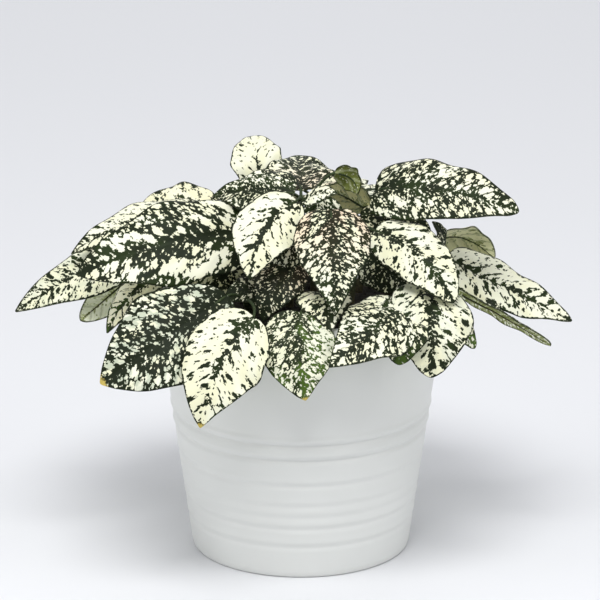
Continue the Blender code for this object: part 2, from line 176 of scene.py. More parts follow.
STEMS = {
    "crown_stem": Stem(
        (-5, 2),
        (0, -7, 163),
        (
            Leaf(
                0.97, (-2, -20, 165), (-22, -48, 138), (-0.2, -1, 0.5), 29,
                arch=6, sweep=-4, blunt=1.1, cream=0.89, grain=1.15, rib=1.0,
            ),
            Leaf(
                0.95, (-3, -12, 166), (-39, 0, 161), (0, -0.6, 1), 27.5,
                arch=3, fullest=0.3, cream=0.39, grain=0.7,
            ),
            Leaf(
                0.97, (0, 0, 164), (-1, 37, 169), (0.05, -0.7, 1), 37,
                arch=1, fullest=0.36, cream=0.44, grain=0.9, blush=0.6,
            ),
            Leaf(
                0.65, (15, -6, 174), (25, -12, 166), (0.2, 1, 0.6), 15,
                arch=4, blunt=1.3, cream=0.02, grain=0.8, fresh=1.0,
            ),
            Leaf(
                0.9, (1, -17, 164), (16, -25, 170), (-0.2, -0.5, 1), 12,
                arch=2, cream=0.85, grain=0.7,
            ),
        ),
    ),
    "centre_stem": Stem(
        (10, -8),
        (15, -16, 154),
        (
            Leaf(
                0.97, (13, -30, 164), (15, -67, 128), (0, -1, 0.4), 34,
                arch=8, fullest=0.32, cream=0.52, grain=0.75, blush=0.8,
            ),
            Leaf(
                0.6, (-1, -25, 139), (-16.5, -44.5, 118), (-0.3, -0.8, 0.6), 24,
                cream=0.25, grain=0.7, gold=0.5, blush=0.8, fresh=0.0,
            ),
            Leaf(
                0.75, (6, -18, 148), (-16, -28, 137), (0, -0.8, 0.8), 22,
                arch=4, cream=0.4, grain=0.6, blush=1.0, fresh=0.0,
            ),
            Leaf(0.9, (18, -9, 155), (1, -7, 158), (0, -1, 0.3), 15, arch=2, cream=0.5, grain=0.6),
        ),
    ),
    "right_stem": Stem(
        (22, 4),
        (31, 2, 150),
        (
            Leaf(
                0.97, (32.5, -3, 165), (95, -20, 160), (0, -0.8, 1), 34,
                arch=8, fullest=0.24, blunt=1.65, cream=0.48, grain=0.85,
            ),
            Leaf(
                0.9, (30, 6, 153), (8, 0, 165), (-0.2, 0.7, 0.6), 20,
                arch=2, cream=0.95, grain=0.8, gold=0.8,
            ),
            Leaf(
                0.8, (32, -22, 152), (66, -50, 128), (0.3, -0.8, 0.7), 29,
                sweep=2, blunt=1.4, cream=0.78, grain=0.9, rib=1.0,
            ),
            Leaf(
                0.85, (26, 2, 152), (57, -4, 147), (0, -0.5, 1), 25,
                arch=4, cream=0.35, grain=0.8, gold=0.5,
            ),
            Leaf(
                0.5, (28, -8, 137), (50, -26, 122), (0.2, -0.7, 0.8), 27,
                arch=4, cream=0.33, grain=0.8, fresh=0.0,
            ),
            Leaf(0.9, (36, 12, 155), (60, 40, 156), (0.1, 0.2, 1), 26, arch=4, cream=0.6),
        ),
    ),
    "far_right_stem": Stem(
        (38, 8),
        (58, 8, 127),
        (
            Leaf(
                0.97, (65, 2, 132), (120, -5, 105), (0.3, -0.6, 0.8), 27,
                arch=0, fullest=0.34, blunt=1.2, cream=0.73, rib=0.9,
            ),
            Leaf(
                0.95, (68, -6, 119.5), (110, -20, 98.5), (0.4, 0.6, 0.7), 11,
                arch=1, fold=25, curl=70, blunt=3, cream=0.35, grain=0.8,
            ),
            Leaf(
                0.9, (58, 16, 135), (87, 30, 123), (0.1, 0.7, 0.5), 22,
                blunt=1.4, cream=0.9, gold=0.4,
            ),
            Leaf(
                0.97, (62, 6, 134), (58, 5, 148), (1, -0.4, 0.2), 12,
                arch=3, cream=0.15, grain=0.6,
            ),
            Leaf(0.8, (62, 20, 126), (98, 32, 102), (0.3, 0.3, 0.9), 26, cream=0.7),
        ),
    ),
    "left_stem": Stem(
        (-22, -2),
        (-25, -8, 145),
        (
            Leaf(
                0.97, (-22, -15, 149), (-97, -35, 136), (0, -0.9, 0.75), 41,
                arch=10, fullest=0.36, blunt=1.25, cream=0.5, grain=1.25, rib=1.2,
            ),
            Leaf(
                0.5, (-26, -12, 132), (-54, -20, 126), (0, -0.7, 0.8), 26,
                arch=4, cream=0.45, gold=0.5,
            ),
        ),
    ),
    "far_left_stem": Stem(
        (-36, 8),
        (-52, 6, 136),
        (
            Leaf(
                0.97, (-58, 4, 140), (-126, -10, 111), (0, -0.6, 0.9), 27,
                arch=5, blunt=1.1, cream=0.73, grain=0.8, rib=0.9, frost=0.35,
            ),
            Leaf(
                0.8, (-71, 0, 128), (-97, -16, 109), (0.5, 0.8, 0.2), 16,
                blunt=1.4, cream=1.0, rib=0.6,
            ),
            Leaf(
                0.7, (-59, -8, 128), (-85, -25, 106), (-0.6, -0.7, 0.3), 16,
                blunt=1.1, cream=0.8, gold=0.4, fresh=0.7,
            ),
            Leaf(0.9, (-62, 17, 137), (-102, 30, 119), (-0.2, 0.1, 1), 26, cream=0.6),
        ),
    ),
    "front_left_stem": Stem(
        (-22, -24),
        (-24, -32, 124),
        (
            Leaf(
                0.97, (-20, -63.5, 126), (-43, -85.5, 83.5), (-0.2, -1, 0.3), 37,
                arch=8, sweep=-3, fullest=0.37, cream=0.88, grain=1.0, rib=1.1, golden_tip=1,
            ),
            # Its green at the darkest and its cream veiled grey-green: painted shade from the leaf
            # above
            Leaf(
                0.85, (-32, -48, 131), (-86, -74, 99.5), (-0.3, -0.9, 0.4), 45,
                sweep=2.5, fullest=0.46, blunt=1.05,
                cream=0.48, grain=1.1, rib=1.8, fresh=0.0, frost=0.8, golden_tip=1,
            ),
            Leaf(
                0.7, (-8, -24, 122), (-34, -34, 124), (0, -0.6, 1), 22,
                cream=0.35, grain=0.8, blush=1.0,
            ),
        ),
    ),
    "front_stem": Stem(
        (4, -30),
        (4, -36, 124),
        (
            Leaf(
                0.9, (0, -60, 127), (2, -80, 94), (0, -1, 0.6), 35,
                arch=5, sweep=-2, fullest=0.37, blunt=1.05,
                cream=0.53, grain=0.7, fresh=1.0, frost=0.3, golden_tip=1,
            ),
            Leaf(
                0.97, (8, -37.5, 128.5), (12.5, -66.5, 120), (0, -0.5, 1), 24.5,
                cream=0.62, grain=0.9, blush=0.3,
            ),
        ),
    ),
    "front_right_stem": Stem(
        (32, -22),
        (45, -30, 124),
        (
            Leaf(
                0.97, (56, -38, 131), (56, -66, 99.5), (0.2, -1, 0.4), 38,
                arch=8, sweep=-1, fullest=0.34, blunt=1.5,
                cream=0.67, grain=0.95, rib=1.2, frost=0.25,
            ),
            Leaf(
                0.85, (44, -44, 127), (12, -80, 109), (-0.1, -0.8, 0.8), 34,
                sweep=4, cream=0.55, grain=0.8,
            ),
            Leaf(
                0.7, (44, -54, 122), (42, -71, 107), (0, -1, 0.3), 23,
                blunt=1.5, cream=0.35, fresh=1.0,
            ),
            Leaf(
                0.9, (58, -40, 123), (75.5, -45, 105.7), (0.2, -0.5, 1), 14,
                arch=3, blunt=1.6, cream=0.5, fresh=1.0,
            ),
        ),
    ),
    "back_left_stem": Stem(
        (-18, 18),
        (-24, 14, 152),
        (
            Leaf(
                0.97, (-17, 28, 156), (-23, 50, 174), (0, -1, 1), 24,
                blunt=1.2, cream=1.0, rib=0.3,
            ),
            Leaf(
                0.9, (-37, 12, 147), (-74, 30, 143.5), (0, -0.7, 1), 32,
                blunt=1.4, cream=0.62, gold=0.5,
            ),
            Leaf(
                0.95, (-40, 8, 152), (-101, -8, 137), (-0.2, -0.4, 1), 27,
                cream=0.78, grain=0.8, rib=0.6,
            ),
            Leaf(0.9, (-36, 28, 144), (-64, 66, 128), (-0.1, 0.3, 1), 34, cream=0.6, grain=1.1),
        ),
    ),
    "back_stem": Stem(
        (6, 22),
        (8, 26, 150),
        (
            Leaf(0.97, (11, 42, 153), (16, 92, 130), (0, 0.5, 1), 36, cream=0.6, grain=1.1),
            Leaf(0.97, (20, 34, 150), (64, 56, 136), (0.2, 0.2, 1), 34, cream=0.75),
            Leaf(0.97, (2, 36, 153), (-30, 62, 147), (-0.1, 0.2, 1), 28, arch=4, cream=0.5),
            Leaf(0.8, (-4, 38, 146), (-20, 80, 122), (-0.2, 0.4, 1), 34, cream=0.8, grain=1.1),
        ),
    ),
    "back_right_stem": Stem(
        (26, 26),
        (40, 32, 128),
        (
            Leaf(0.97, (48, 47, 126), (80, 72, 104), (0.4, 0.3, 0.9), 32, cream=0.55, rib=1.3),
            Leaf(0.9, (44, 50, 124), (56, 88, 94), (0.2, 0.7, 0.7), 36, cream=0.78, grain=1.1),
            Leaf(0.8, (38, 40, 134), (36, 84, 114), (0, 0.7, 0.7), 30, cream=0.5, grain=0.8),
        ),
    ),
    "back_low_stem": Stem(
        (-6, 34),
        (-6, 44, 122),
        (
            Leaf(0.97, (-10, 58, 125), (-14, 90, 88), (0, 1, 0.5), 38, cream=0.58, grain=1.2),
            Leaf(0.9, (6, 60, 127), (18, 88, 86), (0.2, 1, 0.5), 34, cream=0.8),
        ),
    ),
    "back_low_left_stem": Stem(
        (-30, 26),
        (-40, 34, 126),
        (
            Leaf(0.97, (-52, 36, 128), (-100, 50, 108), (-0.3, 0.2, 1), 34, cream=0.7),
            Leaf(
                0.9, (-46, 46, 126), (-66, 84, 94), (-0.4, 0.7, 0.7), 36,
                cream=0.5, grain=1.2, rib=1.3,
            ),
            Leaf(0.9, (-38, 52, 127), (-40, 84, 90), (0, 1, 0.5), 32, cream=0.78, grain=0.9),
        ),
    ),
}


def pos(point):
    return Vector(point) * MM


def blend(start, end, share):
    return start + (end - start) * share


def bell(offset, width):
    """1 at no offset, falling to nothing a few widths away."""
    return math.exp(-((offset / width) ** 2))


def bezier(points, share):
    """A point on the Bezier curve with these control points."""
    points = [p.copy() for p in points]
    while len(points) > 1:
        points = [a.lerp(b, share) for a, b in zip(points, points[1:])]
    return points[0]


def across(direction, towards):
    """The unit vector nearest to towards that is square to direction."""
    towards = Vector(towards)
    return (towards - towards.project(direction)).normalized()


class Blade:
    """The middle surface of a leaf: point(s, t), s from base to tip and t from -1 to 1 across."""

    def __init__(self, leaf):
        self.leaf = leaf
        self.base = pos(leaf.base)
        self.tip = pos(leaf.tip)
        self.length = (self.tip - self.base).length
        self.along = (self.tip - self.base).normalized()
        self.normal = across(self.along, leaf.faces)
        self.side = self.normal.cross(self.along)
        self.half_width = leaf.width * MM / 2
        # A number of the leaf's own keeps its margin, dimples and splashes unlike the others'.
        self.seed = sum(leaf.base) * SEED_FROM_BASE + sum(leaf.tip) * SEED_FROM_TIP

    def midrib(self, s):
        hump = 4 * s * (1 - s)
        bend = self.normal * self.leaf.arch + self.side * self.leaf.sweep
        return self.base.lerp(self.tip, s) + bend * MM * hump

    def tangent(self, s):
        step = 0.01
        return (self.midrib(s + step) - self.midrib(s - step)).normalized()

    def up(self, s):
        return across(self.tangent(s), self.normal)

    def reach(self, s, t):
        """The distance from the midrib to the margin on the side of t, measured along the blade."""
        power = math.log(0.5) / math.log(self.leaf.fullest)
        sharpness = blend(BLADE_BASE_SHARPNESS, BLADE_TIP_SHARPNESS, s)
        shape = math.sin(math.pi * (TIP_CUT * s) ** power) ** (sharpness / self.leaf.blunt)
        shape = max(shape, BLADE_START_WIDTH * (1 - s) ** 2)
        over = max(0, s - 1 + TIP_ROUND) / TIP_ROUND
        side = 1 if t > 0 else -1
        uneven = 1 + MARGIN_UNEVEN * noise.noise(Vector((s * MARGIN_LUMPS, side, self.seed)))
        return self.half_width * shape * math.sqrt(max(0, 1 - over * over)) * uneven

    def vein_way(self, s, out):
        """How far along the midrib the side vein through this place left it."""
        return s * self.length - VEIN_SLOPE * out - VEIN_CURVE * out * out

    def relief(self, s, t):
        """Side veins and the midrib lie in grooves, and the blade swells between them."""
        out = abs(t) * self.reach(s, t)
        phase = self.vein_way(s, out) / VEIN_SPACING + (0.5 if t > 0 else 0)
        swell = abs(math.sin(math.pi * phase)) ** PUCKER_ROUNDNESS - PUCKER_LEVEL
        fade = min(1, out / PUCKER_START) * (1 - abs(t) ** 3) * min(1, 4 * (1 - s))
        groove = MIDRIB_GROOVE * bell(out, MIDRIB_WIDTH) * (1 - s)
        flat = Vector((s * self.length, t * self.half_width, self.seed))
        dimple = DIMPLE * noise.noise(flat / DIMPLE_SIZE)
        return PUCKER * swell * fade - groove + dimple * (1 - s)

    def point(self, s, t):
        leaf = self.leaf
        tangent = self.tangent(s)
        up = across(tangent, self.normal)
        side = up.cross(tangent)
        reach = abs(t) * self.reach(s, t)
        # Each half leaves the midrib at the fold's angle and then turns down evenly.
        start = math.radians(leaf.fold)
        turn = math.radians(leaf.curl) * reach / self.half_width
        middle = start - turn / 2
        chord = reach * (math.sin(turn / 2) / (turn / 2) if turn > 1e-4 else 1)
        out = math.copysign(chord * math.cos(middle), t)
        lift = chord * math.sin(middle)
        phase = WAVE_TURNS * math.tau * s + (WAVE_OFFSET if t > 0 else 0)
        ripple = WAVE_SHARE * self.half_width * math.sin(phase) * t * t * math.sin(math.pi * s)
        return self.midrib(s) + side * out + up * (lift + ripple + self.relief(s, t))


def row_place(share):
    """Where a row of the blade lies along the midrib. Rows are closer together at both ends."""
    return blend(share, (1 - math.cos(math.pi * share)) / 2, ROW_CROWDING)


def stem_point(stem, share):
    """A point of the stem above the soil, which it leaves upright."""
    root = Vector((*stem.root, STEM_BEND / MM)) * MM
    tip = pos(stem.tip)
    height = Vector((0, 0, tip.z - root.z))
    return bezier([root, root + height * STEM_UPRIGHT, tip - height * STEM_ARRIVE, tip], share)


def petiole_path(stem, leaf):
    blade = Blade(leaf)
    start = stem_point(stem, leaf.node)
    end = blade.midrib(PETIOLE_INTO_BLADE)
    length = (end - start).length
    leave = start.lerp(end, PETIOLE_LEAVE) + Vector((0, 0, length * PETIOLE_RISE))
    arrive = blade.base - blade.tangent(0) * length * PETIOLE_ARRIVE
    curve = [start, leave, arrive, end]
    return [bezier(curve, i / PETIOLE_STEPS) for i in range(PETIOLE_STEPS + 1)]


def turns_along(path):
    """A rotation for each point that takes +Z along the path, without spinning about it."""
    turns = []
    for before, after in zip([path[0]] + path, path[1:] + [path[-1]]):
        ahead = after - before
        if turns:
            last = turns[-1] @ Vector((0, 0, 1))
            turns.append(last.rotation_difference(ahead) @ turns[-1])
        else:
            turns.append(Vector((0, 0, 1)).rotation_difference(ahead))
    return turns


def add_tube(builder, path, radii, sides):
    """A grid rolled up along the path, with its ends filled."""
    steps = len(path) - 1
    grid = bmesh.ops.create_grid(builder, x_segments=sides, y_segments=steps, size=1)["verts"]
    turns = turns_along(path)
    for vert in grid:
        angle = math.pi * vert.co.x
        index = round((vert.co.y + 1) / 2 * steps)
        spoke = Vector((math.cos(angle), math.sin(angle), 0)) * radii[index]
        vert.co = path[index] + turns[index] @ spoke
    bmesh.ops.remove_doubles(builder, verts=grid, dist=1e-6)
    rims = {edge for vert in grid if vert.is_valid for edge in vert.link_edges if edge.is_boundary}
    bmesh.ops.holes_fill(builder, edges=list(rims))


def add_piece(name, builder, materials, slot, *nodes):
    """A finished piece from a bmesh, standing for the CAD nodes named."""
    mesh = bpy.data.meshes.new(name)
    builder.to_mesh(mesh)
    builder.free()
    mesh.shade_smooth()
    for material in materials:
        mesh.materials.append(material)
    piece = bpy.data.objects.new(name, mesh)
    bpy.context.scene.collection.objects.link(piece)
    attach(piece, "root")
    if nodes:
        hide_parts(*nodes)
    return piece


def add_stalks(name, stem, material):
    """The stem, its petioles and the raised ribs that run on under the blades."""
    builder = bmesh.new()
    foot = Vector((*stem.root, (SOIL_TOP - STEM_DEPTH) / MM)) * MM
    path = [foot] + [stem_point(stem, i / STEM_STEPS) for i in range(STEM_STEPS + 1)]
    radii = [STEM_RADIUS]
    for i in range(STEM_STEPS + 1):
        share = i / STEM_STEPS
        knot = max(bell(share - leaf.node, KNOT_LENGTH) for leaf in stem.leaves)
        radii.append(blend(STEM_RADIUS, STEM_TOP_RADIUS, share) * (1 + KNOT_SWELL * knot))
    add_tube(builder, path, radii, STEM_SIDES)
    for leaf in stem.leaves:
        path = petiole_path(stem, leaf)
        shares = [i / PETIOLE_STEPS for i in range(PETIOLE_STEPS + 1)]
        radii = [blend(PETIOLE_RADIUS, PETIOLE_END_RADIUS, share) for share in shares]
        blade = Blade(leaf)
        for i in range(1, RIB_STEPS + 1):
            s = blend(PETIOLE_INTO_BLADE, RIB_END, i / RIB_STEPS)
            path.append(blade.midrib(s) + blade.up(s) * (blade.relief(s, 0) - RIB_DROP))
            radii.append(blend(PETIOLE_END_RADIUS, RIB_END_RADIUS, (i / RIB_STEPS) ** RIB_TAPER))
        add_tube(builder, path, radii, PETIOLE_SIDES)
    bmesh.ops.recalc_face_normals(builder, faces=builder.faces)
    return add_piece(name + "_stalks", builder, [material], "leaf")


BLADE_NOTES = ("vein", "place", "look", "tint", "tip")


def add_blades(name, stem, materials):
    """All the blades of a stem, with what their pattern needs written on their points."""
    builder = bmesh.new()
    layers = builder.verts.layers.float_vector
    vein, place, look, tint, tip = [layers.new(key) for key in BLADE_NOTES]
    for leaf in stem.leaves:
        blade = Blade(leaf)
        cells = {"x_segments": BLADE_COLUMNS, "y_segments": BLADE_ROWS}
        grid = bmesh.ops.create_grid(builder, size=1, **cells)["verts"]
        for vert in grid:
            s, t = row_place((vert.co.y + 1) / 2), vert.co.x
            reach = blade.reach(s, t)
            way = blade.vein_way(s, abs(t) * reach)
            vert[vein] = Vector((way, t * reach, blade.seed))
            vert[place] = Vector((s, abs(t) * reach, (1 - abs(t)) * reach))
            vert[look] = Vector((leaf.cream, leaf.grain, leaf.rib))
            vert[tint] = Vector((leaf.gold, leaf.blush, leaf.fresh))
            vert[tip] = Vector((leaf.golden_tip, leaf.frost, 0))
            vert.co = blade.point(s, t)
        bmesh.ops.remove_doubles(builder, verts=grid, dist=1e-6)
    piece = add_piece(name + "_blades", builder, materials, "leaf", name)
    thicken = piece.modifiers.new("thickness", "SOLIDIFY")
    thicken.thickness = BLADE_THICKNESS
    thicken.offset = 0
    thicken.use_rim = True
    thicken.material_offset = 1
    return piece


MIX_COLORS = (6, 7)  # a Mix node has a pair of sockets of each kind, and these take colours
MIX_RESULT = 2


class Paint:
    """A material and short ways to add the nodes that it is painted with."""

    def __init__(self, name, roughness):
        self.material = bpy.data.materials.new(name)
        self.material.use_nodes = True
        self.tree = self.material.node_tree
        self.shader = self.tree.nodes["Principled BSDF"]
        self.shader.inputs["Roughness"].default_value = roughness

    def add(self, kind, sockets=(), **settings):
        node = self.tree.nodes.new("ShaderNode" + kind)
        for key, value in settings.items():
            setattr(node, key, value)
        for socket, value in dict(sockets).items():
            self.put(node.inputs[socket], value)
        return node

    def put(self, socket, value):
        if isinstance(value, bpy.types.NodeSocket):
            self.tree.links.new(value, socket)
        else:
            socket.default_value = value

    def attribute(self, name):
        node = self.add("Attribute", attribute_type="GEOMETRY", attribute_name=name)
        return self.split(node.outputs["Vector"])

    def split(self, vector):
        return self.add("SeparateXYZ", {"Vector": vector}).outputs

    def vector(self, x, y, z):
        return self.add("CombineXYZ", {"X": x, "Y": y, "Z": z}).outputs[0]

    def maths(self, operation, a, b=0.0):
        return self.add("Math", {0: a, 1: b}, operation=operation).outputs[0]

    def sum(self, a, b):
        return self.maths("ADD", a, b)

    def less(self, a, b):
        return self.maths("SUBTRACT", a, b)

    def times(self, a, b):
        return self.maths("MULTIPLY", a, b)

    def over(self, a, b):
        return self.maths("DIVIDE", a, b)

    def root(self, value):
        return self.maths("SQRT", self.maths("MAXIMUM", value, 0.0))

    def bell(self, value, width):
        """1 where value is 0, falling to nothing a few widths away."""
        ratio = self.over(value, width)
        return self.maths("POWER", math.e, self.times(self.times(ratio, ratio), -1))

    def ramp(self, value, low, high, start=0.0, end=1.0):
        """A smooth step from start at low to end at high."""
        sockets = {"Value": value, "From Min": low, "From Max": high}
        sockets |= {"To Min": start, "To Max": end}
        return self.add("MapRange", sockets, interpolation_type="SMOOTHSTEP").outputs[0]

    def grain(self, vector, scale, detail=2.0, roughness=0.5):
        sockets = {"Vector": vector, "Scale": scale, "Detail": detail, "Roughness": roughness}
        return self.add("TexNoise", sockets).outputs["Fac"]

    def stray(self, vector, scale, reach):
        """Two numbers that wander up to about reach either side of 0."""
        node = self.add("TexNoise", {"Vector": vector, "Scale": scale, "Detail": 2.0})
        parts = self.split(node.outputs["Color"])
        # Noise seldom strays more than a third from its middle.
        return [self.times(self.less(part, 0.5), reach * 3) for part in parts[:2]]

    def dots(self, x, y, size, radius):
        """How far inside a round dot a place lies. Uneven dots are scattered, one to each size."""
        spot = self.vector(self.over(x, size), self.over(y, size), 0.0)
        node = self.add("TexVoronoi", {"Vector": spot, "Scale": 1.0}, voronoi_dimensions="2D")
        own = self.split(node.outputs["Color"])[0]
        radius = self.times(radius, self.sum(SMALLEST_DOT, self.times(own, DOT_SPREAD)))
        return self.times(self.less(radius, node.outputs["Distance"]), size)

    def scatter(self, x, y, size, share):
        """How far inside the nearest of many dots a place lies, if they cover about this share."""
        room = self.times(self.maths("LOGARITHM", self.less(1.0, share), math.e), -1 / math.pi)
        blotch_radius = self.root(self.times(room, BLOTCH_PART))
        speck_radius = self.root(self.times(room, 1 - BLOTCH_PART))
        blotches = self.dots(x, y, self.times(size, BLOTCH_SIZE), blotch_radius)
        specks = self.dots(x, y, self.times(size, SPECK_SIZE), speck_radius)
        return self.maths("MAXIMUM", blotches, specks)

    def mix(self, share, start, end):
        node = self.add("Mix", data_type="RGBA")
        self.put(node.inputs["Factor"], share)
        for index, color in zip(MIX_COLORS, (start, end)):
            self.put(node.inputs[index], color)
        return node.outputs[MIX_RESULT]

    def bump(self, height, strength, distance):
        node = self.add("Bump", {"Height": height, "Strength": strength, "Distance": distance})
        self.put(self.shader.inputs["Normal"], node.outputs[0])

    def color(self, value):
        self.put(self.shader.inputs["Base Color"], value)
        return self.material


# Leaf colours
CREAM = (0.76, 0.75, 0.53, 1)
PALE = (0.79, 0.79, 0.63, 1)
GOLD = (0.78, 0.72, 0.46, 1)
BLUSH = (0.76, 0.59, 0.42, 1)
FROST = (0.42, 0.47, 0.36, 1)
BROWN = (0.020, 0.013, 0.006, 1)
DARK_GREEN = (0.009, 0.014, 0.005, 1)
LEAF_GREEN = (0.026, 0.040, 0.010, 1)
GRASS_GREEN = (0.06, 0.11, 0.014, 1)
TIP_GOLD = (0.46, 0.36, 0.09, 1)
# Underside colours: the blade's own paler tones, brightened further as painted light that stands in
# for light shining through the thin leaf
UNDER_CREAM = (0.93, 0.95, 0.80, 1)
UNDER_GOLD = (0.93, 0.88, 0.40, 1)
UNDER_GREEN = (0.17, 0.20, 0.045, 1)
UNDER_VEIN = (0.72, 0.76, 0.48, 1)

# Leaf shading: the part of a range over which one colour turns into another, and how far
PALE_TURN = (0.35, 0.65)
GOLD_TURN = (0.3, 0.6)
BLUSH_TURN = (0.38, 0.55)
BLUSH_ALONG = (0.8, 0.1)
VEIL_TURN = (0.38, 0.58)
GREEN_TURN = (0.35, 0.75)
GRASS_TURN = (0.45, 0.65)
TIP_TURN = (0.985, 1.005)
TIP_RAGGED = 0.05
UNDER_LIGHT_TURN = (0.4, 0.8)
UNDER_LIGHT_MOST = 0.6
UNDER_DARK_TURN = (0.35, 0.8)
UNDER_VEIN_SHARE = 0.4
HALO_SHARE = 0.5

# Leaf finish
LEAF_ROUGHNESS = 0.55
LEAF_SHINE = 0.14
LEAF_BUMP = 0.3 * MM
LEAF_BUMP_STRENGTH = 0.2
FINE_SCALE = 0.9

# Leaf pattern
BLOTCH_SIZE = 3.6 * MM
SPECK_SIZE = 1.6 * MM
BLOTCH_PART = 0.6  # of the room that the dots cover, the rest being specks
SMALLEST_DOT = 0.3
DOT_SPREAD = 1.25
GAP_SIZE = 1.35  # green gaps against cream dots
GAP_STRETCH = 1.2
GAP_SHIFT = 50 * MM
SPLASH_SLANT = 0.4
SPLASH_STRETCH = 1.45
STRAY_SIZE = 1.3 * MM
STRAY_REACH = 0.75 * MM
RAGGED_SIZE = 1.2 * MM
RAGGED_CREAM = 1.9 * MM
RAGGED_GREEN = 1.3 * MM
LEAF_APART = 13 * MM
LAYER_APART = 0.31
BROAD_ALONG = 14 * MM
BROAD_OUT = 11 * MM
BROAD_SWING = 0.3
BAND_BASE_WIDTH = 3.0 * MM
BAND_TIP_WIDTH = 0.9 * MM
BAND_LOSS = 0.95
VEIN_WIDTH = 0.75 * MM
VEIN_FADE = (2 * MM, 13 * MM)
VEIN_LOSS = 0.72
VEIN_FAR = 0.1  # what is left of it beyond its fade
PATCH_SIZE = 5 * MM
PATCH_TURN = (0.42, 0.56)
FAINT_GREEN = 1.1  # what is left of the band and the veins in a green leaf's faint patches
FAINT_CREAM_LOSS = 0.9  # how much less that is in a leaf that is all cream
EDGE_FADE = (0.25 * MM, 1.3 * MM)
EDGE_LOSS = 0.6
LEAST_SHARE = 0.02
MOST_SHARE = 0.96
MOSTLY_CREAM = (0.5, 0.78)
VEIL_SIZE = 4 * MM
HALO = (-0.22 * MM, -0.02 * MM)  # a paler green just outside each splash
SPLASH_EDGE = (-0.02 * MM, 0.12 * MM)
MARGIN_LINE = (0.2 * MM, 0.55 * MM)
MARGIN_DARK = 0.85


